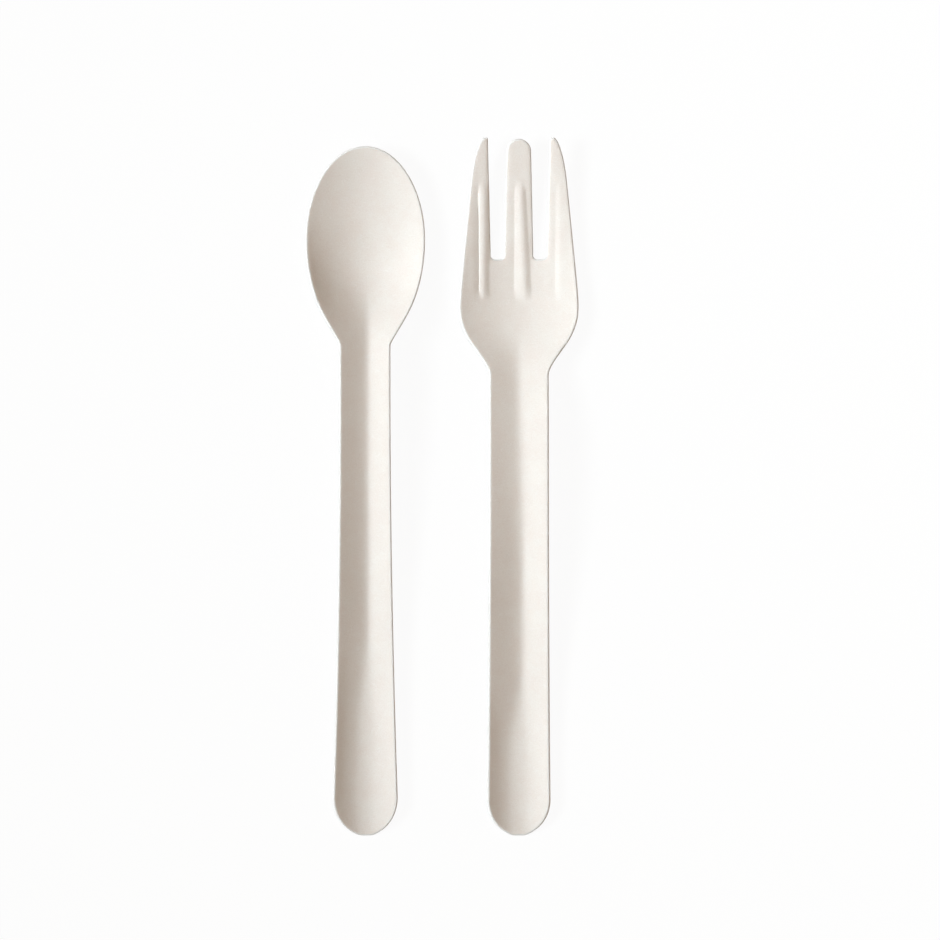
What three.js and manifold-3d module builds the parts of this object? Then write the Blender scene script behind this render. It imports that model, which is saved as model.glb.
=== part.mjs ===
// A disposable cutlery kit: a spoon and a three-tined fork, each pressed in one piece from a sheet of white
// paper pulp and trimmed square to the sheet. Millimetres, +Z up. The two lie side by side, hollow side up,
// with the bowl and the tines towards +Y. The origin is the middle of the kit on the surface it lies on.
//
// Each piece is drawn in its own frame first: Y runs from the end of the handle (0) to the tip, X is measured
// from the middle line, and Z is the height of the sheet's underside.
import * as THREE from "three";
import { mergeVertices } from "three/addons/utils/BufferGeometryUtils.js";
import Module from "manifold-3d";

// The sheet, and the space between the two pieces
const sheetThickness = 0.8;
const gapBetweenPieces = 7.6;

// Spoon, seen from above
const spoonHandleLength = 112; // to where the ellipse of the bowl's heel would close
const spoonBowlHeelLength = 24.5; // from there to the widest line
const spoonBowlTipLength = 21.5; // from the widest line to the tip
const spoonBowlWidth = 27.5;
const spoonNeckWidth = 11.8;
const spoonNeckAt = 100; // where the handle is down to its neck width
const spoonNeckFillet = 4; // over which the heel's curve and the handle's edge run into each other
const spoonEndWidth = 15;
const spoonEndLength = 8.9; // of the rounded end

// Spoon, in height
const spoonBowlDepth = 7.2; // of the bowl's section, where the heel starts
const spoonTipDepth = 3; // of the section near the tip, where the bowl is flatter
const spoonFlatterLength = 35; // of the bowl, along which its section gets flatter
const spoonTipRise = 4.7;
const spoonDeepestBeforeWidest = 6.5; // from the lowest point to the widest line
const spoonHeelRunOut = 16; // over which the crease fades into the bowl
const spoonCrestHeight = 5.6; // of the crease, where the handle stands highest
const spoonCrestBeforeHeel = 2; // from the highest point to where the heel starts
const spoonNeckDepth = 2.4;
const spoonEndDepth = 2.75;
const spoonCreaseRounding = 1.4;
const spoonPressShift = 0.75; // of crease and bowl, which sit to the right of the trimmed outline's middle
const spoonPadLength = 18; // of the thumb pad, which lies flat
const spoonPadRunOut = 34; // over which the pad narrows into the crease
const spoonPadFloorWidth = 4.6;
const spoonPadBow = 1.8; // how far the floor of the pad bows up at the handle's edges

// Fork, seen from above
const forkLength = 160;
const forkHeadWidth = 27.6;
const forkShoulderAt = 121; // where the head is widest
const forkShoulderRounding = 3.4;
const forkHeelLength = 16.9; // from the shoulder to where the heel's curve would close
const forkNeckWidth = 13.8;
const forkNeckAt = 95;
const forkNeckFillet = 4;
const forkEndWidth = 14.8;
const forkEndLength = 8.4;
const forkTineSpread = 22; // across the outer tines, where their tips begin to round off
const forkTipLength = 9.7; // of the rounded-off tips
const forkTipWidth = 0.7; // of an outer tine, at its very end
const forkCentreTineRootWidth = 6.6;
const forkCentreTineTipWidth = 5.4;
const forkCentreTineRoundLength = 2.8;
const forkCentreTineSetback = 0.3; // how much it stops short of the outer tines
const forkGapRootWidth = 3.3;
const forkGapRootRadius = 1.1;
const forkGapRootAt = 132.2;
const forkTineLean = 0.6; // of an outer tine's inner side, outwards from the root to the tip

// Fork, in height
const forkHeadDepth = 2.7;
const forkTipDepth = 0.4; // of the head's section at the tips, which are nearly flat
const forkFlatterFrom = 122;
const forkHeadShift = -0.5; // of the head's lowest line, to the left of the outline's middle
const forkTipRise = 5;
const forkDeepestAt = 122;
const forkHeelRunOut = 14;
const forkCrestHeight = 5.8;
const forkCrestAt = 90;
const forkNeckDepth = 1.95;
const forkEndDepth = 2.6;
const forkCreaseRounding = 1.5;
const forkCreaseShift = 0.9; // along most of the handle
const forkCreaseBackFrom = 60; // from where the crease comes back to the middle
const forkCreaseBackTo = 110;
const forkPadLength = 17;
const forkPadRunOut = 22;
const forkPadFloorWidth = 5;
const forkPadBow = 1.5;

// The rib embossed on each tine, a low ridge with a steeper side. Each pair of sizes is at the root and at
// the tip: the place of the crest, the reach of the flanks to the left and to the right, and the height.
const ribs = [
  { crest: [-8.25, -8.5], left: [1.1, 1], right: [1.4, 1.1], height: [0.36, 0.3] },
  { crest: [1.5, 0.2], left: [2.8, 1.4], right: [1.4, 0.8], height: [0.55, 0.3] },
  { crest: [9.1, 9.1], left: [1.2, 1.1], right: [2, 1.8], height: [0.26, 0.22] },
];
const ribFrom = 122;
const ribTo = 151;
const ribRunOut = 4; // over which a rib fades at each end
const ribRounding = 0.2; // of a crest and its feet, as a share of the flanks

// Both pieces
const handleTaperPower = 1.9; // above 1, so most of a handle's taper is near its end
const handleShallowerFrom = 50; // from where a handle's section grows shallower towards the neck
const spoonHeelPower = 0.5; // an ellipse
const forkHeelPower = 0.8; // fuller at the shoulder and straighter below it than an ellipse
const dishRounding = 25; // of bowl and head: large beside them, so their section is close to a parabola

const { clamp, lerp, smoothstep } = THREE.MathUtils;
const wasm = await Module();
wasm.setup();

// Values from one end of a stretch to the other, without the first. The easing spaces them.
function stretch(from, to, count, easing = (share) => share) {
  return Array.from({ length: count }, (_, step) => lerp(from, to, easing((step + 1) / count)));
}

const closeAtStart = (share) => 1 - Math.cos((share * Math.PI) / 2);
const closeAtEnd = (share) => Math.sin((share * Math.PI) / 2);

// An ellipse's half-width, as a share of its widest, at a distance from its widest line.
const ellipse = (distance, reach) => Math.sqrt(Math.max(1 - (distance / reach) ** 2, 0));

// The larger of two values, with the corner between them filled over the given width.
function filletedMax(first, second, width) {
  const overlap = Math.max(width - Math.abs(first - second), 0);
  return Math.max(first, second) + overlap ** 2 / (4 * width);
}

// Rise of a trough's section at x: two walls with a floor of the given half-width between them, and round
// corners. With no floor it is a V with a rounded crease. It is given as a share of the rise at the edge.
function troughShare(x, edge, floorHalf, rounding) {
  const rise = (at) =>
    (Math.hypot(at - floorHalf, rounding) + Math.hypot(at + floorHalf, rounding)) / 2 -
    Math.hypot(floorHalf, rounding);
  return rise(x) / rise(edge);
}

// A handle: its outline, and the rise of its section, a V that opens into a thumb pad near the end.
function makeHandle(sizes) {
  function taperedHalfWidth(y) {
    const toNeck = clamp((y - sizes.endLength) / (sizes.neckAt - sizes.endLength), 0, 1);
    return lerp(sizes.neckWidth, sizes.endWidth, (1 - toNeck) ** handleTaperPower) / 2;
  }

  function halfWidth(y) {
    return taperedHalfWidth(y) * ellipse(Math.max(sizes.endLength - y, 0), sizes.endLength);
  }

  function rise(x, y) {
    const edge = taperedHalfWidth(y);
    const pad = 1 - smoothstep(y, sizes.padLength, sizes.padLength + sizes.padRunOut);
    const bow = sizes.padBow * pad;
    const depth = lerp(sizes.endDepth, sizes.neckDepth, smoothstep(y, handleShallowerFrom, sizes.neckAt));
    const fromCrease = x - sizes.creaseShift(y) * (1 - pad);
    const walls = troughShare(fromCrease, edge, (pad * sizes.padFloorWidth) / 2, sizes.creaseRounding);
    return (depth - bow) * walls + bow * (x / edge) ** 2;
  }

  return { halfWidth, rise };
}

// Half-width of a heel, as a share of the head's, at a distance from the head's widest line.
const heelShare = (distance, reach, power) => Math.max(1 - (distance / reach) ** 2, 0) ** power;

// Height of the middle line: flat under the pad, up to the crest, down to the deepest point, up to the tip.
function makeMiddleLine(sizes) {
  return (y) => {
    if (y < sizes.crestAt) return sizes.crestHeight * smoothstep(y, sizes.padLength, sizes.crestAt);
    if (y < sizes.deepestAt) return sizes.crestHeight * (1 - smoothstep(y, sizes.crestAt, sizes.deepestAt));
    return sizes.tipRise * ((y - sizes.deepestAt) / (sizes.length - sizes.deepestAt)) ** 2;
  };
}

// Columns across a row: evenly spread, but for some crowding towards the crease. Their number is even, so the
// strip along the middle line is level.
const columnCount = 24;
function spreadColumns(half) {
  const crowding = 0.25;
  return Array.from({ length: columnCount }, (_, column) => {
    const side = (2 * column) / (columnCount - 1) - 1;
    return half * side * (1 - crowding * (1 - Math.abs(side)));
  });
}

// A pressed sheet as a closed mesh. Each station along Y has a row of columns across X. The upper face stands
// one thickness off the underside, square to it, so the trimmed edge is square to the sheet as well.
function pressedSheet(stations, columnsAt, underside) {
  const probe = 0.01; // each way, to take the slope of the underside
  const points = [];

  function addPoint(x, y) {
    const lower = new THREE.Vector3(x, y, underside(x, y));
    const slopeX = (underside(x + probe, y) - underside(x - probe, y)) / (2 * probe);
    const slopeY = (underside(x, y + probe) - underside(x, y - probe)) / (2 * probe);
    const normal = new THREE.Vector3(-slopeX, -slopeY, 1).normalize();
    const upper = lower.clone().addScaledVector(normal, sheetThickness);
    return { lower: points.push(lower) - 1, upper: points.push(upper) - 1 };
  }

  // A row that closes to a point, as at a rounded end, uses the same point in all its columns.
  const rows = stations.map((y) => {
    const columns = columnsAt(y);
    const isClosed = columns.at(-1) - columns[0] < probe;
    if (isClosed) return columns.fill(addPoint(0, y));
    return columns.map((x) => addPoint(x, y));
  });

  const triangles = [];
  function addQuad(a, b, c, d) {
    for (const corners of [[a, b, c], [a, c, d]]) {
      if (new Set(corners).size === corners.length) triangles.push(...corners);
    }
  }

  function addBand(near, far) {
    for (let column = 1; column < near.length; column++) {
      const [nearLeft, nearRight] = [near[column - 1], near[column]];
      const [farLeft, farRight] = [far[column - 1], far[column]];
      addQuad(nearLeft.upper, nearRight.upper, farRight.upper, farLeft.upper);
      addQuad(nearLeft.lower, farLeft.lower, farRight.lower, nearRight.lower);
    }
    const [nearLeft, nearRight] = [near[0], near.at(-1)];
    const [farLeft, farRight] = [far[0], far.at(-1)];
    addQuad(nearLeft.upper, farLeft.upper, farLeft.lower, nearLeft.lower);
    addQuad(nearRight.lower, farRight.lower, farRight.upper, nearRight.upper);
  }

  function addEnd(row) {
    for (let column = 1; column < row.length; column++) {
      const [before, after] = [row[column - 1], row[column]];
      addQuad(before.lower, after.lower, after.upper, before.upper);
    }
  }

  for (let row = 1; row < rows.length; row++) addBand(rows[row - 1], rows[row]);
  addEnd(rows[0]);
  addEnd(rows.at(-1).toReversed());
  return new THREE.BufferGeometry().setFromPoints(points).setIndex(triangles);
}

const spoonLength = spoonHandleLength + spoonBowlHeelLength + spoonBowlTipLength;

function makeSpoon() {
  const heelFrom = spoonHandleLength;
  const widestAt = heelFrom + spoonBowlHeelLength;
  const bowlHalf = spoonBowlWidth / 2;
  const handle = makeHandle({
    neckWidth: spoonNeckWidth,
    neckAt: spoonNeckAt,
    neckDepth: spoonNeckDepth,
    endWidth: spoonEndWidth,
    endLength: spoonEndLength,
    endDepth: spoonEndDepth,
    creaseRounding: spoonCreaseRounding,
    creaseShift: () => spoonPressShift,
    padLength: spoonPadLength,
    padRunOut: spoonPadRunOut,
    padFloorWidth: spoonPadFloorWidth,
    padBow: spoonPadBow,
  });
  const middleLine = makeMiddleLine({
    length: spoonLength,
    padLength: spoonPadLength,
    crestAt: heelFrom - spoonCrestBeforeHeel,
    crestHeight: spoonCrestHeight,
    deepestAt: widestAt - spoonDeepestBeforeWidest,
    tipRise: spoonTipRise,
  });

  function halfWidth(y) {
    if (y >= widestAt) return bowlHalf * ellipse(y - widestAt, spoonBowlTipLength);
    const heel = bowlHalf * heelShare(widestAt - y, spoonBowlHeelLength, spoonHeelPower);
    return filletedMax(heel, handle.halfWidth(y), spoonNeckFillet);
  }

  function underside(x, y) {
    const depth = lerp(spoonBowlDepth, spoonTipDepth, smoothstep(y, heelFrom, heelFrom + spoonFlatterLength));
    const bowl = depth * troughShare(x - spoonPressShift, bowlHalf, 0, dishRounding);
    const share = smoothstep(y, heelFrom, heelFrom + spoonHeelRunOut);
    return middleLine(y) + lerp(handle.rise(x, y), bowl, share);
  }

  const padTo = spoonPadLength + spoonPadRunOut;
  const stations = [
    0,
    ...stretch(0, spoonEndLength, 7, closeAtStart),
    ...stretch(spoonEndLength, padTo, 9),
    ...stretch(padTo, heelFrom, 14),
    ...stretch(heelFrom, widestAt, 14),
    ...stretch(widestAt, spoonLength, 12, closeAtEnd),
  ];
  return pressedSheet(stations, (y) => spreadColumns(halfWidth(y)), underside);
}

const gapRootInner = forkCentreTineRootWidth / 2;
const gapRootOuter = gapRootInner + forkGapRootWidth;
const gapTipOuter = gapRootOuter + forkTineLean;

// What is cut out between the tines, as one outline: both gaps, and the rounding of the centre tine's end.
function makeTineGaps() {
  const cutMargin = 5; // past the sheet on every open side
  const [right, down, left] = [0, -Math.PI / 2, -Math.PI];
  const cornerAt = forkGapRootAt + forkGapRootRadius;
  const roundFrom = forkLength - forkCentreTineSetback - forkCentreTineRoundLength;
  const outline = new THREE.Shape();

  function cutRoot(fromX, toX) {
    outline.absarc(fromX - forkGapRootRadius, cornerAt, forkGapRootRadius, right, down, true);
    outline.absarc(toX + forkGapRootRadius, cornerAt, forkGapRootRadius, down, left, true);
  }

  outline.moveTo(gapTipOuter, forkLength + cutMargin);
  outline.lineTo(gapTipOuter, forkLength);
  outline.lineTo(gapRootOuter, cornerAt);
  cutRoot(gapRootOuter, gapRootInner);
  outline.absellipse(0, roundFrom, forkCentreTineTipWidth / 2, forkCentreTineRoundLength, 0, Math.PI);
  cutRoot(-gapRootInner, -gapRootOuter);
  outline.lineTo(-gapTipOuter, forkLength);
  outline.lineTo(-gapTipOuter, forkLength + cutMargin);

  const depth = forkTipRise + forkHeadDepth + sheetThickness + 2 * cutMargin;
  const cut = new THREE.ExtrudeGeometry(outline, { depth, bevelEnabled: false, curveSegments: 8 });
  cut.deleteAttribute("normal");
  cut.deleteAttribute("uv");
  return mergeVertices(cut.translate(0, 0, -cutMargin));
}

function makeForkSheet() {
  const headHalf = forkHeadWidth / 2;
  const heelFrom = forkShoulderAt - forkHeelLength;
  const roundFrom = forkLength - forkTipLength;
  const handle = makeHandle({
    neckWidth: forkNeckWidth,
    neckAt: forkNeckAt,
    neckDepth: forkNeckDepth,
    endWidth: forkEndWidth,
    endLength: forkEndLength,
    endDepth: forkEndDepth,
    creaseRounding: forkCreaseRounding,
    creaseShift: (y) => forkCreaseShift * (1 - smoothstep(y, forkCreaseBackFrom, forkCreaseBackTo)),
    padLength: forkPadLength,
    padRunOut: forkPadRunOut,
    padFloorWidth: forkPadFloorWidth,
    padBow: forkPadBow,
  });
  const middleLine = makeMiddleLine({
    length: forkLength,
    padLength: forkPadLength,
    crestAt: forkCrestAt,
    crestHeight: forkCrestHeight,
    deepestAt: forkDeepestAt,
    tipRise: forkTipRise,
  });

  // The outer edge of the outer tines, a straight taper that leaves the shoulder in a curve.
  function tineHalfWidth(y) {
    const along = (at) => Math.hypot(at - forkShoulderAt, forkShoulderRounding) - forkShoulderRounding;
    return lerp(headHalf, forkTineSpread / 2, along(y) / along(roundFrom));
  }

  const roundOff = tineHalfWidth(forkLength) - gapTipOuter - forkTipWidth;
  function halfWidth(y) {
    if (y >= forkShoulderAt) {
      return tineHalfWidth(y) - roundOff * (1 - ellipse(Math.max(y - roundFrom, 0), forkTipLength));
    }
    const heel = headHalf * heelShare(forkShoulderAt - y, forkHeelLength, forkHeelPower);
    return filletedMax(heel, handle.halfWidth(y), forkNeckFillet);
  }

  function ribAt(rib, y) {
    const toTip = clamp((y - ribFrom) / (ribTo - ribFrom), 0, 1);
    const at = (pair) => lerp(...pair, toTip);
    return { crest: at(rib.crest), left: at(rib.left), right: at(rib.right), height: at(rib.height) };
  }

  // A ridge's height as a share of its crest's, at a place given as a share of the flank.
  function ridge(share) {
    const soft = (at) => at + Math.hypot(at, ribRounding);
    return soft(1 + ribRounding - Math.hypot(share, ribRounding)) / soft(1);
  }

  function ribRise(x, y) {
    const fade = smoothstep(y, ribFrom, ribFrom + ribRunOut) - smoothstep(y, ribTo - ribRunOut, ribTo);
    const rises = ribs.map((rib) => {
      const { crest, left, right, height } = ribAt(rib, y);
      return height * ridge((x - crest) / (x < crest ? left : right));
    });
    return fade * Math.max(...rises);
  }

  const headShare = (y) => smoothstep(y, heelFrom, heelFrom + forkHeelRunOut);
  function underside(x, y) {
    const depth = lerp(forkHeadDepth, forkTipDepth, smoothstep(y, forkFlatterFrom, forkLength));
    const head = depth * troughShare(x - forkHeadShift, headHalf, 0, dishRounding);
    return middleLine(y) + lerp(handle.rise(x, y), head, headShare(y)) + ribRise(x, y);
  }

  // Columns across the head: five on each rib, and a few in each stretch beside the ribs, which with the two
  // edges makes columnCount. Where the head is narrower than the ribs reach, they are drawn in together.
  const besideRibs = [2, 2, 2, 1];
  const edgeMargin = 0.3;
  function headColumns(y, half) {
    const groups = ribs.map((rib) => {
      const { crest, left, right } = ribAt(rib, y);
      return [crest - left, crest - left / 4, crest, crest + right / 4, crest + right];
    });
    const squeeze = Math.min(1, (half - edgeMargin) / groups.at(-1).at(-1));
    const columns = [-half];
    for (const [index, group] of [...groups, [half / squeeze]].entries()) {
      const inner = group.map((x) => x * squeeze);
      columns.push(...stretch(columns.at(-1), inner[0], besideRibs[index] + 1), ...inner.slice(1));
    }
    return columns;
  }

  function columnsAt(y) {
    const half = halfWidth(y);
    const across = headColumns(y, half);
    return spreadColumns(half).map((x, column) => lerp(x, across[column], headShare(y)));
  }

  const padTo = forkPadLength + forkPadRunOut;
  const stations = [
    0,
    ...stretch(0, forkEndLength, 7, closeAtStart),
    ...stretch(forkEndLength, padTo, 7),
    ...stretch(padTo, heelFrom, 13),
    ...stretch(heelFrom, forkShoulderAt, 10),
    ...stretch(forkShoulderAt, roundFrom, 13),
    ...stretch(roundFrom, forkLength, 6, closeAtEnd),
  ];
  return pressedSheet(stations, columnsAt, underside);
}

function toSolid(geometry) {
  const vertProperties = new Float32Array(geometry.attributes.position.array);
  const triVerts = new Uint32Array(geometry.index.array);
  return new wasm.Manifold(new wasm.Mesh({ numProp: 3, vertProperties, triVerts }));
}

function makeFork() {
  const { vertProperties, triVerts } = toSolid(makeForkSheet()).subtract(toSolid(makeTineGaps())).getMesh();
  const geometry = new THREE.BufferGeometry();
  geometry.setAttribute("position", new THREE.BufferAttribute(vertProperties, 3));
  return geometry.setIndex(new THREE.BufferAttribute(triVerts, 1));
}

// The kit: both handles end on one line, and each piece lies on the surface.
const kitWidth = spoonBowlWidth + gapBetweenPieces + forkHeadWidth;
const kitLength = Math.max(spoonLength, forkLength);

function layOut(name, geometry, middleX) {
  const paper = new THREE.MeshStandardMaterial({ color: 0xece6dc, roughness: 0.9, metalness: 0 });
  const piece = new THREE.Mesh(geometry, paper);
  piece.name = name;
  geometry.computeBoundingBox();
  piece.position.set(middleX, -kitLength / 2, -geometry.boundingBox.min.z);
  return piece;
}

const kit = new THREE.Group();
kit.add(layOut("spoon", makeSpoon(), (spoonBowlWidth - kitWidth) / 2));
kit.add(layOut("fork", makeFork(), (kitWidth - forkHeadWidth) / 2));

export default kit;
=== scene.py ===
"""Looks for the paper cutlery kit: a spoon and a fork of pressed white pulp, lying on a white table.

Each CAD solid is replaced by a finer sheet of the same shape, with softened trim edges and the slight
unevenness of pressed pulp. The shapes are worked out in millimetres, in a frame of their own: Y runs from
the end of the handle (0) to the tip, X is measured from the middle line, and Z is the height.
"""

import math
from types import SimpleNamespace

import bpy
import numpy as np
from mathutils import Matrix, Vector
from mathutils.geometry import delaunay_2d_cdt
from mathutils.kdtree import KDTree


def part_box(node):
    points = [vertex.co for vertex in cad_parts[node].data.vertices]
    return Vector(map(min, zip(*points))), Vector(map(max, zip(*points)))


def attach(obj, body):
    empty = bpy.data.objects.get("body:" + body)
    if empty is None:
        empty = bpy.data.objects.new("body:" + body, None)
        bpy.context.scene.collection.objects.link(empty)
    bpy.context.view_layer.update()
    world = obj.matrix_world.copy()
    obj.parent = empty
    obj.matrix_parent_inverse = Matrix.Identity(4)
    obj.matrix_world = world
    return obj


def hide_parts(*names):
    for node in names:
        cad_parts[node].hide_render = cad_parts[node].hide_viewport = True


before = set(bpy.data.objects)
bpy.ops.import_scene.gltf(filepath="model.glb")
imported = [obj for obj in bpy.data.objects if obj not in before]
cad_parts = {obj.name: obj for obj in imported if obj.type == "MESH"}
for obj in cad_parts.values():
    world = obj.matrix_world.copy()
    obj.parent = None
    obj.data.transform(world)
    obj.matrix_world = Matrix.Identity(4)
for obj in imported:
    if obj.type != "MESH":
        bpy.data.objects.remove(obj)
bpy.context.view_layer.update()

MILLIMETRE = 0.001

# Sizes of the sheets in millimetres, as in the CAD source. Two are the scene's own: trim_lean is how far
# the trimmed edge leans from square to the sheet (0) towards upright (1), and wave_phase shifts the waves.
SHEET_THICKNESS = 0.8
HANDLE_TAPER_POWER = 1.9
HANDLE_SHALLOWER_FROM = 50
CREASE_BACK_FROM = 60
CREASE_BACK_TO = 110
DISH_ROUNDING = 25

SPOON = SimpleNamespace(
    length=158,
    end_width=15,
    end_length=8.9,
    end_depth=2.75,
    neck_width=11.8,
    neck_at=100,
    neck_depth=2.4,
    neck_fillet=4,
    crease_rounding=1.4,
    crease_shift=0.75,
    neck_shift=0.75,
    dish_shift=0.75,
    pad_length=18,
    pad_run_out=34,
    pad_floor_width=4.6,
    pad_bow=1.8,
    crest_at=110,
    crest_height=5.6,
    deepest_at=130,
    tip_rise=4.7,
    head_width=27.5,
    head_depth=7.2,
    tip_depth=3,
    flatter_from=112,
    flatter_to=147,
    heel_length=24.5,
    heel_power=0.5,
    heel_run_out=16,
    widest_at=136.5,
    trim_lean=0.42,
    wave_phase=0.4,
)

FORK = SimpleNamespace(
    length=160,
    end_width=14.8,
    end_length=8.4,
    end_depth=2.6,
    neck_width=13.8,
    neck_at=95,
    neck_depth=1.95,
    neck_fillet=4,
    crease_rounding=1.5,
    crease_shift=0.9,
    neck_shift=0,
    dish_shift=-0.5,
    pad_length=17,
    pad_run_out=22,
    pad_floor_width=5,
    pad_bow=1.5,
    crest_at=90,
    crest_height=5.8,
    deepest_at=122,
    tip_rise=5,
    head_width=27.6,
    head_depth=2.7,
    tip_depth=0.4,
    flatter_from=122,
    flatter_to=160,
    heel_length=16.9,
    heel_power=0.8,
    heel_run_out=14,
    widest_at=121,
    shoulder_rounding=3.4,
    tine_spread=22,
    tip_length=9.7,
    tip_width=0.7,
    tip_corner=0.3,
    centre_tine_root_width=6.6,
    centre_tine_tip_width=5.4,
    centre_tine_round_length=2.8,
    centre_tine_setback=0.3,
    gap_root_width=3.3,
    gap_root_radius=1.1,
    gap_root_at=132.2,
    tine_lean=0.6,
    trim_lean=0,
    wave_phase=2.1,
)

# Ribs of the fork's head, crisper than the CAD source's, and grooves beside them, which it leaves out: the
# place of the crest, the reach of the left and the right flank, and the height, at the root and at the tip
RIBS = [
    SimpleNamespace(crest=(-8.25, -8.3), left=(0.75, 0.7), right=(1.1, 0.95), height=(0.35, 0.3)),
    SimpleNamespace(crest=(1.5, 0.35), left=(2.0, 0.95), right=(1.3, 0.8), height=(0.58, 0.36)),
    SimpleNamespace(crest=(9.8, 9.8), left=(0.8, 0.8), right=(2.6, 2.4), height=(0.14, 0.11)),
]
GROOVES = [
    SimpleNamespace(crest=(-9.3, -9.3), left=(1.2, 1.2), right=(1.1, 1.1), height=(-0.19, -0.19)),
    SimpleNamespace(crest=(-1.0, -1.0), left=(1.3, 1.3), right=(0.6, 0.6), height=(-0.06, -0.06)),
    SimpleNamespace(crest=(8.4, 8.4), left=(1.3, 1.3), right=(0.7, 0.7), height=(-0.07, -0.07)),
]
RIBS_FROM = 122
RIBS_TO = 151
RIB_RUN_OUT = 4
RIB_ROUNDING = 0.2

# How the tines' sides roll over towards the gaps, which the CAD source leaves out
GAP_ROLL_DROP = 0.15
GAP_ROLL_REACH = 1.3
GAP_ROLL_RUN_OUT = 3

# Slight waves that pressing and drying leave in a sheet, which the CAD source leaves out
LONG_WAVE_HEIGHT = 0.02
SHORT_WAVE_HEIGHT = 0.012
WAVES_FROM = 2
WAVES_FULL_FROM = 20

# Points on the parts of an outline, before they are spaced evenly
END_POINTS = 200
HANDLE_POINTS = 2000
TINE_POINTS = 600
TIP_POINTS = 400
ARC_POINTS = 60

# Fineness of the sheets' meshes, in millimetres, and the trimmed edge's rounding
GRID_STEP = 0.36
GRID_CLEARANCE = 0.6 * GRID_STEP
EDGE_STEP = 0.22
EDGE_ROUNDING = 0.32
EDGE_ROUNDING_TURNS = (30, 60, 90)
SLOPE_PROBE = 0.01
MERGING_DISTANCE = 1e-6


# Curves that both pieces share


def smoothstep(value, low, high):
    share = np.clip((value - low) / (high - low), 0, 1)
    return share * share * (3 - 2 * share)


def lerp(low, high, share):
    return low + (high - low) * share


def ellipse(distance, reach):
    """An ellipse's half-width, as a share of its widest, at a distance from its widest line."""
    return np.sqrt(np.maximum(1 - (distance / reach) ** 2, 0))


def filleted_max(first, second, width):
    """The larger of two values, with the corner between them filled over the given width."""
    overlap = np.maximum(width - np.abs(first - second), 0)
    return np.maximum(first, second) + overlap**2 / (4 * width)


def trough_share(x, edge, floor_half, rounding):
    """Rise of a trough's section, as a share of its edge's: two walls, a floor and round corners."""

    def rise(at):
        walls = (np.hypot(at - floor_half, rounding) + np.hypot(at + floor_half, rounding)) / 2
        return walls - np.hypot(floor_half, rounding)

    return rise(x) / rise(edge)


# Handle, heel and middle line


def tapered_half_width(piece, y):
    """Half the handle's width, as if its end were cut off straight."""
    to_neck = np.clip((y - piece.end_length) / (piece.neck_at - piece.end_length), 0, 1)
    return lerp(piece.neck_width, piece.end_width, (1 - to_neck) ** HANDLE_TAPER_POWER) / 2


def handle_half_width(piece, y):
    """Half the handle's width, with its round end."""
    return tapered_half_width(piece, y) * ellipse(np.maximum(piece.end_length - y, 0), piece.end_length)


def handle_rise(piece, x, y):
    """Height above the middle line: a V along the handle, which opens into a bowed pad at its end."""
    edge = tapered_half_width(piece, y)
    pad = 1 - smoothstep(y, piece.pad_length, piece.pad_length + piece.pad_run_out)
    bow = piece.pad_bow * pad
    depth = lerp(piece.end_depth, piece.neck_depth, smoothstep(y, HANDLE_SHALLOWER_FROM, piece.neck_at))
    shift = lerp(piece.crease_shift, piece.neck_shift, smoothstep(y, CREASE_BACK_FROM, CREASE_BACK_TO))
    from_crease = x - shift * (1 - pad)
    walls = trough_share(from_crease, edge, pad * piece.pad_floor_width / 2, piece.crease_rounding)
    return (depth - bow) * walls + bow * (x / edge) ** 2


def heel_half_width(piece, y):
    """Half the width from the end of the handle to the widest line of the head, with a filleted neck."""
    to_neck = (piece.widest_at - y) / piece.heel_length
    heel = piece.head_width / 2 * np.maximum(1 - to_neck**2, 0) ** piece.heel_power
    return filleted_max(heel, handle_half_width(piece, y), piece.neck_fillet)


def middle_line(piece, y):
    """Height of the middle line: level at the pad, up to the crest, down to the head and up to the tip."""
    up = piece.crest_height * smoothstep(y, piece.pad_length, piece.crest_at)
    down = piece.crest_height * (1 - smoothstep(y, piece.crest_at, piece.deepest_at))
    tip = piece.tip_rise * ((y - piece.deepest_at) / (piece.length - piece.deepest_at)) ** 2
    return np.where(y < piece.crest_at, up, np.where(y < piece.deepest_at, down, tip))


def dished_height(piece, x, y):
    """Height of the underside, before ribs and waves: a V along the handle, a dish in the head."""
    heel_from = piece.widest_at - piece.heel_length
    depth = lerp(piece.head_depth, piece.tip_depth, smoothstep(y, piece.flatter_from, piece.flatter_to))
    dish = depth * trough_share(x - piece.dish_shift, piece.head_width / 2, 0, DISH_ROUNDING)
    share = smoothstep(y, heel_from, heel_from + piece.heel_run_out)
    return middle_line(piece, y) + lerp(handle_rise(piece, x, y), dish, share)


def waves(piece, x, y):
    """Slight waves of two lengths, which start past the end of the handle.

    The numbers that divide x and y set the lengths. None is a multiple of another, so no pattern repeats.
    """
    phase = piece.wave_phase
    long_wave = LONG_WAVE_HEIGHT * np.sin(y / 5.3 + phase) * np.cos(x / 4.1 + 0.7 * phase)
    short_wave = SHORT_WAVE_HEIGHT * np.sin(y / 1.9 + x / 2.3 + 2 * phase) * np.cos(x / 1.7 - y / 3.1)
    return (long_wave + short_wave) * smoothstep(y, WAVES_FROM, WAVES_FULL_FROM)


# Outlines: the right half of each, from the end of the handle to the middle of the tip


def eased_at_start(low, high, count):
    return low + (high - low) * (1 - np.cos(np.linspace(0, np.pi / 2, count)))


def eased_at_end(low, high, count):
    return low + (high - low) * np.sin(np.linspace(0, np.pi / 2, count))


def heel_outline(piece):
    """The outline from the end of the handle to the widest line of the head."""
    end = eased_at_start(0, piece.end_length, END_POINTS)
    rest = np.linspace(piece.end_length, piece.widest_at, HANDLE_POINTS)[1:]
    y = np.concatenate([end, rest])
    return np.column_stack([heel_half_width(piece, y), y])


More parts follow.
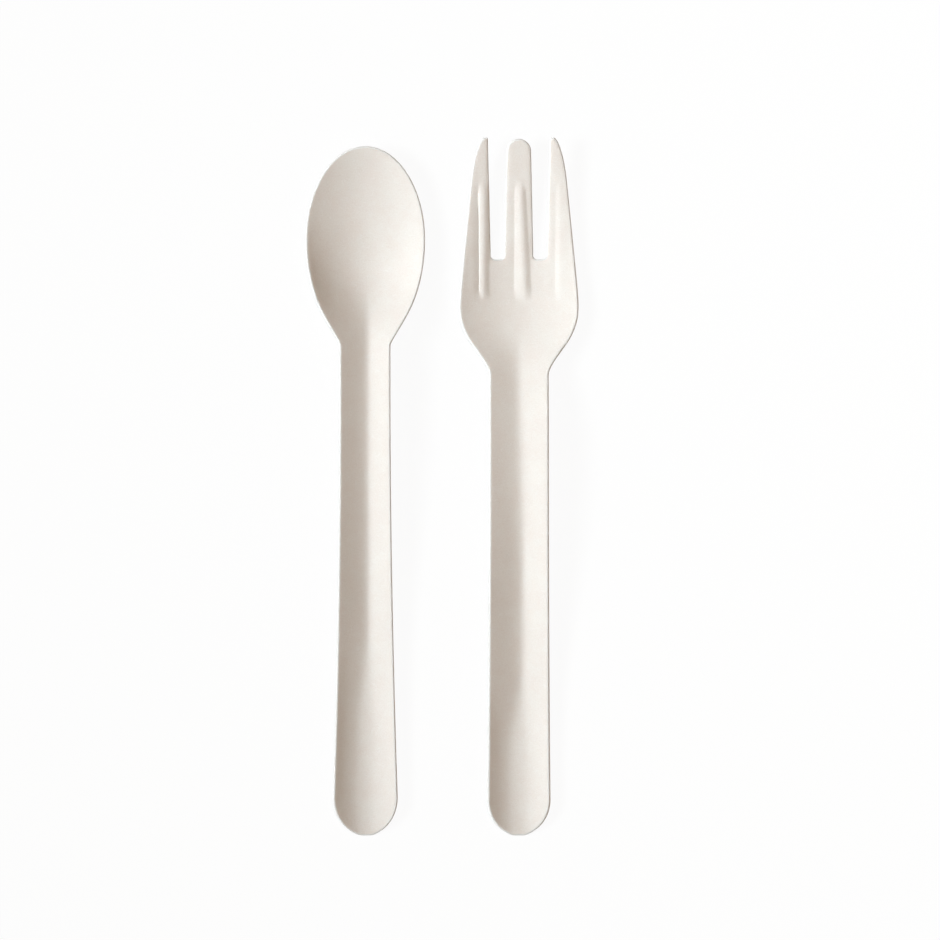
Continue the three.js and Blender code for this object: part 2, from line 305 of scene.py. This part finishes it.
def spoon_half_outline():
    y = eased_at_end(SPOON.widest_at, SPOON.length, TIP_POINTS)[1:]
    bowl = SPOON.head_width / 2 * ellipse(y - SPOON.widest_at, SPOON.length - SPOON.widest_at)
    return np.concatenate([heel_outline(SPOON), np.column_stack([bowl, y])])


def arc(centre_x, centre_y, radius_x, radius_y, start, stop):
    """Points on an arc of an ellipse, with the angles in degrees."""
    turn = np.radians(np.linspace(start, stop, ARC_POINTS))
    return np.column_stack([centre_x + radius_x * np.cos(turn), centre_y + radius_y * np.sin(turn)])


def outer_tine_outline(tip_side):
    """The outer edge of an outer tine, from the shoulder to the tip, whose inner side is given."""
    round_from = FORK.length - FORK.tip_length

    def along(at):
        return np.hypot(at - FORK.widest_at, FORK.shoulder_rounding) - FORK.shoulder_rounding

    def tapered(at):
        return lerp(FORK.head_width / 2, FORK.tine_spread / 2, along(at) / along(round_from))

    straight = np.linspace(FORK.widest_at, round_from, TINE_POINTS)[1:]
    rounded = eased_at_end(round_from, FORK.length, TIP_POINTS)[1:]
    y = np.concatenate([straight, rounded])
    round_off = tapered(FORK.length) - tip_side - FORK.tip_width
    x = tapered(y) - round_off * (1 - ellipse(np.maximum(y - round_from, 0), FORK.tip_length))
    return np.column_stack([x, y])


def fork_half_outline():
    inner_side = FORK.centre_tine_root_width / 2
    gap_side = inner_side + FORK.gap_root_width
    tip_side = gap_side + FORK.tine_lean
    radius = FORK.gap_root_radius
    corner_at = FORK.gap_root_at + radius
    corner = FORK.tip_corner
    round_from = FORK.length - FORK.centre_tine_setback - FORK.centre_tine_round_length
    tip_half = FORK.centre_tine_tip_width / 2
    return np.concatenate(
        [
            heel_outline(FORK),
            outer_tine_outline(tip_side),
            arc(tip_side + corner, FORK.length - corner, corner, corner, 90, 180),
            arc(gap_side - radius, corner_at, radius, radius, 0, -90),
            arc(inner_side + radius, corner_at, radius, radius, -90, -180),
            arc(0, round_from, tip_half, FORK.centre_tine_round_length, 0, 90),
        ]
    )


def whole_outline(half):
    """The closed outline, anticlockwise, with evenly spaced points."""
    left = half[-2:0:-1] * (-1, 1)
    closed = np.concatenate([half, left, half[:1]])
    along = np.concatenate([[0], np.cumsum(np.hypot(*np.diff(closed, axis=0).T))])
    places = np.linspace(0, along[-1], round(along[-1] / EDGE_STEP), endpoint=False)
    return np.column_stack([np.interp(places, along, closed[:, axis]) for axis in (0, 1)])


def inward(outline):
    """Unit vectors that point from an anticlockwise outline into it."""
    tangent = np.roll(outline, -1, axis=0) - np.roll(outline, 1, axis=0)
    across = np.column_stack([-tangent[:, 1], tangent[:, 0]])
    return across / np.hypot(*across.T)[:, None]


# Undersides


def ridge(share):
    """A ridge's height as a share of its crest's: straight flanks with a rounded crest and feet."""
    down = np.hypot(share, RIB_ROUNDING) - RIB_ROUNDING

    def soft(at):
        return at + np.hypot(at, RIB_ROUNDING)

    return soft(1 - down) / soft(1)


def rib_rise(x, y):
    """How far the ribs stand above the dish, and the grooves below it."""
    start = smoothstep(y, RIBS_FROM, RIBS_FROM + RIB_RUN_OUT)
    stop = smoothstep(y, RIBS_TO - RIB_RUN_OUT, RIBS_TO)
    to_tip = np.clip((y - RIBS_FROM) / (RIBS_TO - RIBS_FROM), 0, 1)
    rise = 0
    for rib in RIBS + GROOVES:
        from_crest = x - lerp(*rib.crest, to_tip)
        reach = np.where(from_crest < 0, lerp(*rib.left, to_tip), lerp(*rib.right, to_tip))
        rise = rise + lerp(*rib.height, to_tip) * ridge(from_crest / reach)
    return rise * (start - stop)


def gap_roll(x, y):
    """How far the tines' sides roll over, downwards, towards the gaps."""
    to_tip = np.clip((y - FORK.gap_root_at) / (FORK.length - FORK.gap_root_at), 0, 1)
    inner_side = lerp(FORK.centre_tine_root_width, FORK.centre_tine_tip_width, to_tip) / 2
    outer_side = FORK.centre_tine_root_width / 2 + FORK.gap_root_width + FORK.tine_lean * to_tip
    from_gap = np.maximum(np.maximum(inner_side - np.abs(x), np.abs(x) - outer_side), 0)
    share = np.clip(1 - from_gap / GAP_ROLL_REACH, 0, 1)
    along = smoothstep(y, FORK.gap_root_at - GAP_ROLL_RUN_OUT, FORK.gap_root_at + GAP_ROLL_RUN_OUT)
    return GAP_ROLL_DROP * share**2 * along


def spoon_underside(x, y):
    return dished_height(SPOON, x, y) + waves(SPOON, x, y)


def fork_underside(x, y):
    return dished_height(FORK, x, y) + rib_rise(x, y) - gap_roll(x, y) + waves(FORK, x, y)


# Meshes


def inside(points, outline):
    """Which points lie inside the outline, by counting the edges that a ray towards +X crosses."""
    is_inside = np.zeros(len(points), bool)
    x, y = points.T
    for (x0, y0), (x1, y1) in zip(outline, np.roll(outline, -1, axis=0)):
        if y0 == y1:
            continue
        crosses = (y0 > y) != (y1 > y)
        is_inside ^= crosses & (x < x0 + (y - y0) * (x1 - x0) / (y1 - y0))
    return is_inside


def staggered_grid(outline):
    """Points inside the outline in staggered rows, clear of the outline itself."""
    low, high = outline.min(axis=0), outline.max(axis=0)
    row_step = GRID_STEP * math.sqrt(3) / 2
    rows = []
    for number, y in enumerate(np.arange(low[1], high[1], row_step)):
        x = np.arange(low[0], high[0], GRID_STEP) + (number % 2) * GRID_STEP / 2
        rows.append(np.column_stack([x, np.full_like(x, y)]))
    points = np.concatenate(rows)
    points = points[inside(points, outline)]
    tree = KDTree(len(outline))
    for index, (x, y) in enumerate(outline):
        tree.insert((x, y, 0), index)
    tree.balance()
    clear = [tree.find((x, y, 0))[2] > GRID_CLEARANCE for x, y in points]
    return points[clear]


def triangles_inside(ring, inner):
    """Triangles over the area inside a ring, through its points and the inner ones."""
    points = np.concatenate([ring, inner])
    edges = [(index, (index + 1) % len(ring)) for index in range(len(ring))]
    vectors = [Vector(point) for point in points]
    inside_only = 1
    made, _, faces, *_ = delaunay_2d_cdt(vectors, edges, [], inside_only, MERGING_DISTANCE)
    if len(made) != len(points):
        raise ValueError("the outline crosses itself or repeats a point")
    return points, np.array(faces)


def square_to(underside, points):
    """Unit vectors that stand square to the underside."""
    x, y = points.T
    slope_x = (underside(x + SLOPE_PROBE, y) - underside(x - SLOPE_PROBE, y)) / (2 * SLOPE_PROBE)
    slope_y = (underside(x, y + SLOPE_PROBE) - underside(x, y - SLOPE_PROBE)) / (2 * SLOPE_PROBE)
    normal = np.column_stack([-slope_x, -slope_y, np.ones_like(x)])
    return normal / np.linalg.norm(normal, axis=1)[:, None]


def lifted(points, height, underside):
    """Points on the sheet: each one stands the given height off the underside, square to it."""
    x, y = points.T
    return np.column_stack([x, y, underside(x, y)]) + height * square_to(underside, points)


def trimmed(points, height, underside, lean):
    """Points on the trimmed edge, which leans by a share from square to the sheet towards upright."""
    sideways = height * square_to(underside, points)[:, :2]
    return lifted(points - lean * sideways, height, underside)


def rim_profile():
    """The trimmed edge in section, as (distance in from the outline, height), between the two faces."""
    turns = np.radians(EDGE_ROUNDING_TURNS)
    below = [(EDGE_ROUNDING * (1 - math.sin(t)), EDGE_ROUNDING * (1 - math.cos(t))) for t in turns]
    above = [(distance, SHEET_THICKNESS - height) for distance, height in reversed(below)]
    return below + [(0, SHEET_THICKNESS / 2)] + above


def sheet_vertices(outline, ring, flat, underside, lean):
    """The underside's vertices, then the upper face's, then the trimmed edge's, row by row."""
    upper = lifted(flat, SHEET_THICKNESS, underside)
    upper[: len(ring)] = trimmed(ring, SHEET_THICKNESS, underside, lean)
    layers = [lifted(flat, 0, underside), upper]
    towards_inside = inward(outline)
    for distance, height in rim_profile():
        layers.append(trimmed(outline + distance * towards_inside, height, underside, lean))
    vertices = np.concatenate(layers)
    vertices[:, 2] -= vertices[:, 2].min()
    return vertices


def sheet_faces(triangles, flat_size, ring_size):
    """The upper face's faces, the trimmed edge's and the underside's, in three lists."""
    upper = [tuple(corners) for corners in triangles + flat_size]
    under = [tuple(corners) for corners in triangles[:, ::-1]]
    edge_rows = [2 * flat_size + row * ring_size for row in range(len(rim_profile()))]
    row_starts = [0, *edge_rows, flat_size]
    edge = []
    for lower_start, higher_start in zip(row_starts, row_starts[1:]):
        for index in range(ring_size):
            after = (index + 1) % ring_size
            lower = (lower_start + index, lower_start + after)
            higher = (higher_start + after, higher_start + index)
            edge.append(lower + higher)
    return upper, edge, under


def make_sheet(name, half_outline, underside, lean, place, materials):
    """A pressed sheet as one closed mesh, with a material each for upper face, edge and underside."""
    outline = whole_outline(half_outline)
    ring = outline + EDGE_ROUNDING * inward(outline)
    flat, triangles = triangles_inside(ring, staggered_grid(ring))
    vertices = (sheet_vertices(outline, ring, flat, underside, lean) + place) * MILLIMETRE
    faces = []
    slots = []
    for slot, group in enumerate(sheet_faces(triangles, len(flat), len(ring))):
        faces += group
        slots += [slot] * len(group)

    mesh = bpy.data.meshes.new(name)
    mesh.from_pydata(vertices.tolist(), [], faces)
    for material in materials:
        mesh.materials.append(material)
    mesh.polygons.foreach_set("material_index", slots)
    mesh.shade_smooth()
    mesh.update()
    piece = bpy.data.objects.new(name, mesh)
    bpy.context.scene.collection.objects.link(piece)
    return piece


# Nodes of materials and of the world


class Nodes:
    """Adds nodes to a material or a world and links them."""

    def __init__(self, owner):
        owner.use_nodes = True
        self.tree = owner.node_tree

    def made(self, name):
        """A node that is there from the start."""
        return self.tree.nodes[name]

    def add(self, kind, settings=None, **inputs):
        node = self.tree.nodes.new(kind)
        for key, value in (settings or {}).items():
            setattr(node, key, value)
        for socket, value in inputs.items():
            self.feed(node, socket, value)
        return node

    def feed(self, node, socket, value):
        """Sets a socket, by its name or number, to a value, or links it to another node's output."""
        target = node.inputs[socket]
        if isinstance(value, bpy.types.NodeSocket):
            self.tree.links.new(value, target)
        else:
            target.default_value = value

    def maths(self, operation, *values):
        node = self.add("ShaderNodeMath", {"operation": operation})
        for socket, value in enumerate(values):
            self.feed(node, socket, value)
        return node.outputs[0]

    def ramp(self, value, low, high):
        """From 0 to 1 as the value goes from low to high, smoothly."""
        node = self.add("ShaderNodeMapRange", {"interpolation_type": "SMOOTHSTEP"}, Value=value)
        self.feed(node, "From Min", low)
        self.feed(node, "From Max", high)
        return node.outputs["Result"]

    def mix(self, share, first, second):
        """A mix of two colours. The node's sockets for colours are numbers 6 and 7, and its output is 2."""
        node = self.add("ShaderNodeMix", {"data_type": "RGBA"})
        self.feed(node, 0, share)
        self.feed(node, 6, first)
        self.feed(node, 7, second)
        return node.outputs[2]

    def mix_shaders(self, share, first, second):
        node = self.add("ShaderNodeMixShader")
        for socket, value in enumerate([share, first.outputs[0], second.outputs[0]]):
            self.feed(node, socket, value)
        return node.outputs[0]

    def noise(self, place, scale, detail, roughness=0.5):
        node = self.add("ShaderNodeTexNoise", Vector=place, Scale=scale, Detail=detail, Roughness=roughness)
        return node.outputs["Fac"]

    def scaled(self, place, scale):
        node = self.add("ShaderNodeVectorMath", {"operation": "SCALE"}, Vector=place, Scale=scale)
        return node.outputs[0]


# Pulp: colours, shares, sizes in millimetres, noise scales per millimetre, and the ranges of noise over
# which clouds, fibres and the painted shade in the grain's hollows come in

UPPER_LIGHT = (0.812, 0.777, 0.738, 1)
UPPER_DARK = (0.8, 0.746, 0.706, 1)
EDGE_LIGHT = (0.84, 0.838, 0.83, 1)
EDGE_DARK = (0.8, 0.795, 0.785, 1)

FIBRE_COLOUR = (0.86, 0.84, 0.815, 1)
FIBRE_SHARE = 0.5
FIBRE_RANGE = (0.56, 0.74)
FIBRE_RELIEF = 0.6
FIBRE_LAYERS = [
    SimpleNamespace(turn=(0.0, 0.0, 0.4), length=2.6, width=0.16),
    SimpleNamespace(turn=(0.3, 0.0, 1.5), length=2.2, width=0.14),
    SimpleNamespace(turn=(0.0, 0.3, 2.6), length=3.0, width=0.18),
]
FIBRE_BEND = 2.4
FIBRE_BEND_SCALE = 0.35

# Painted shade: the grain's hollows, where its relief is lowest, are darkened towards this colour
PIT_SHADE_COLOUR = (0.7, 0.64, 0.59, 1)
PIT_SHADE_SHARE = 0.3
PIT_SHADE_RANGE = (0.52, 0.3)
CLOUD_SCALE = 0.22
CLOUD_RANGE = (0.3, 0.7)
TOOTH_SCALE = 3.2
RELIEF_DEPTH = 0.06
ROUGHNESS_RANGE = 0.12
SPECULAR_LEVEL = 0.2
SCATTER_SHARE = 0.5
SCATTER_DEPTH = 0.3
SCATTER_BY_COLOUR = (1.0, 0.97, 0.94)


def bent(nodes, place):
    """Places that are pushed about a little, so that straight streaks come out bent."""
    noise = nodes.add("ShaderNodeTexNoise", Vector=place, Scale=FIBRE_BEND_SCALE, Detail=1.0)
    push = nodes.scaled(noise.outputs["Color"], FIBRE_BEND)
    pushed = nodes.add("ShaderNodeVectorMath", {"operation": "ADD"})
    nodes.feed(pushed, 0, place)
    nodes.feed(pushed, 1, push)
    return pushed.outputs[0]


def fibres(nodes, place, layer):
    """Thin streaks in one direction: noise that is stretched along it, with only its peaks kept."""
    size = (layer.length, layer.width, layer.width)
    kind = {"vector_type": "TEXTURE"}
    mapping = nodes.add("ShaderNodeMapping", kind, Vector=place, Rotation=layer.turn, Scale=size)
    streaks = nodes.noise(mapping.outputs[0], 1.0, detail=1.0)
    return nodes.ramp(streaks, *FIBRE_RANGE)


def pulp(name, light, dark, grain, roughness):
    """Pressed pulp: cloudy formation, fine fibres that lie every way, and a dry, finely grained surface."""
    material = bpy.data.materials.new(name)
    nodes = Nodes(material)
    shader = nodes.made("Principled BSDF")
    coordinates = nodes.add("ShaderNodeTexCoord").outputs["Object"]
    millimetres = nodes.scaled(coordinates, 1 / MILLIMETRE)

    place = bent(nodes, millimetres)
    strands = fibres(nodes, place, FIBRE_LAYERS[0])
    for layer in FIBRE_LAYERS[1:]:
        strands = nodes.maths("MAXIMUM", strands, fibres(nodes, place, layer))
    cloud = nodes.noise(millimetres, CLOUD_SCALE, detail=4.0, roughness=0.6)
    tooth = nodes.noise(millimetres, TOOTH_SCALE, detail=3.0, roughness=0.65)
    # Painted shade in the grain's hollows: 1 where the tooth noise, which also sets the relief, is lowest
    pit_shade = nodes.ramp(tooth, *PIT_SHADE_RANGE)

    tone = nodes.mix(nodes.ramp(cloud, *CLOUD_RANGE), dark, light)
    tone = nodes.mix(nodes.maths("MULTIPLY", pit_shade, PIT_SHADE_SHARE), tone, PIT_SHADE_COLOUR)
    tone = nodes.mix(nodes.maths("MULTIPLY", strands, FIBRE_SHARE), tone, FIBRE_COLOUR)
    least_rough = roughness - ROUGHNESS_RANGE / 2
    relief = nodes.maths("MULTIPLY_ADD", strands, FIBRE_RELIEF, tooth)
    depth = RELIEF_DEPTH * MILLIMETRE
    bump = nodes.add("ShaderNodeBump", Height=relief, Strength=grain, Distance=depth)

    nodes.feed(shader, "Base Color", tone)
    nodes.feed(shader, "Roughness", nodes.maths("MULTIPLY_ADD", cloud, ROUGHNESS_RANGE, least_rough))
    nodes.feed(shader, "Normal", bump.outputs[0])
    nodes.feed(shader, "Specular IOR Level", SPECULAR_LEVEL)
    nodes.feed(shader, "Subsurface Weight", SCATTER_SHARE)
    nodes.feed(shader, "Subsurface Radius", SCATTER_BY_COLOUR)
    nodes.feed(shader, "Subsurface Scale", SCATTER_DEPTH * MILLIMETRE)
    return material


SHEET_MATERIALS = [
    pulp("pulp_upper_face", UPPER_LIGHT, UPPER_DARK, grain=0.35, roughness=0.82),
    pulp("pulp_trimmed_edge", EDGE_LIGHT, EDGE_DARK, grain=0.9, roughness=0.92),
    pulp("pulp_underside", UPPER_LIGHT, UPPER_DARK, grain=0.6, roughness=0.88),
]

# The two pieces, where the CAD solids lie
for name, half_outline, underside, trim_lean in [
    ("spoon", spoon_half_outline(), spoon_underside, SPOON.trim_lean),
    ("fork", fork_half_outline(), fork_underside, FORK.trim_lean),
]:
    low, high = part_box(name)
    middle_x = (low.x + high.x) / 2 / MILLIMETRE
    place = np.array([middle_x, low.y / MILLIMETRE, low.z / MILLIMETRE])
    sheet = make_sheet(f"{name}_sheet", half_outline, underside, trim_lean, place, SHEET_MATERIALS)
    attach(sheet, "root")
    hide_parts(name)


# Table: white to the eye, and pale to the light that bounces off it


def seen_directly(nodes):
    """1 where the eye meets the surface, directly or in a reflection, and 0 for light that bounces."""
    path = nodes.add("ShaderNodeLightPath")
    mirrored = nodes.maths("MAXIMUM", path.outputs["Is Glossy Ray"], path.outputs["Is Transmission Ray"])
    return nodes.maths("MAXIMUM", path.outputs["Is Camera Ray"], mirrored)


def make_table():
    half_side = 3.0
    clearance = 0.02 * MILLIMETRE
    glow_share = 0.95
    material = bpy.data.materials.new("white_table")
    nodes = Nodes(material)
    pale = nodes.made("Principled BSDF")
    nodes.feed(pale, "Base Color", (0.86, 0.86, 0.85, 1))
    nodes.feed(pale, "Roughness", 0.9)
    glow = nodes.add("ShaderNodeEmission", Strength=1.0)
    share = nodes.maths("MULTIPLY", seen_directly(nodes), glow_share)
    nodes.feed(nodes.made("Material Output"), "Surface", nodes.mix_shaders(share, pale, glow))

    signs = [(-1, -1), (1, -1), (1, 1), (-1, 1)]
    corners = [(x * half_side, y * half_side, -clearance) for x, y in signs]
    mesh = bpy.data.meshes.new("table")
    mesh.from_pydata(corners, [], [(0, 1, 2, 3)])
    mesh.materials.append(material)
    table = bpy.data.objects.new("table", mesh)
    bpy.context.scene.collection.objects.link(table)


make_table()


# Light: a large soft lamp from the left, a weak one from the right, and a weak warm light from all around


def make_lamp(name, azimuth, elevation, distance, aim, size, spread, power, colour):
    """A square lamp that faces a place on the table. Azimuth 0 is +X and 90 is +Y, seen from the origin."""
    turn, rise = math.radians(azimuth), math.radians(elevation)
    towards = Vector((math.cos(turn) * math.cos(rise), math.sin(turn) * math.cos(rise), math.sin(rise)))
    lamp = bpy.data.lights.new(name, "AREA")
    lamp.size = size
    lamp.spread = math.radians(spread)
    lamp.energy = power
    lamp.color = colour
    holder = bpy.data.objects.new(name, lamp)
    holder.location = distance * towards
    holder.rotation_euler = (holder.location - Vector(aim)).to_track_quat("Z", "Y").to_euler()
    holder.visible_camera = False
    bpy.context.scene.collection.objects.link(holder)


def make_world():
    world = bpy.data.worlds.new("studio")
    bpy.context.scene.world = world
    nodes = Nodes(world)
    warm = nodes.made("Background")
    nodes.feed(warm, "Color", (1.0, 0.7, 0.42, 1))
    nodes.feed(warm, "Strength", 0.2)
    white = nodes.add("ShaderNodeBackground", Color=(1, 1, 1, 1))
    mixed = nodes.mix_shaders(seen_directly(nodes), warm, white)
    nodes.feed(nodes.made("World Output"), "Surface", mixed)


make_lamp(
    "key",
    azimuth=176,
    elevation=46,
    distance=1.2,
    aim=(0.35, 0.08, 0),
    size=0.45,
    spread=40,
    power=1.8,
    colour=(0.87, 0.95, 1),
)
make_lamp(
    "fill",
    azimuth=15,
    elevation=22,
    distance=0.4,
    aim=(0, 0.04, 0),
    size=0.3,
    spread=180,
    power=0.185,
    colour=(1, 0.8, 0.68),
)
make_world()



def make_camera():
    aim = Vector((6.37, 3.89, 4.0)) * MILLIMETRE
    distance = 1.2
    seen_width = 215.2 * MILLIMETRE
    camera = bpy.data.cameras.new("camera")
    camera.sensor_width = 36
    camera.lens = camera.sensor_width * distance / seen_width
    camera.clip_end = 10
    holder = bpy.data.objects.new("camera", camera)
    holder.location = aim + Vector((0, 0, distance))
    bpy.context.scene.collection.objects.link(holder)
    bpy.context.scene.camera = holder


make_camera()
bpy.context.scene.view_settings.view_transform = "Standard"
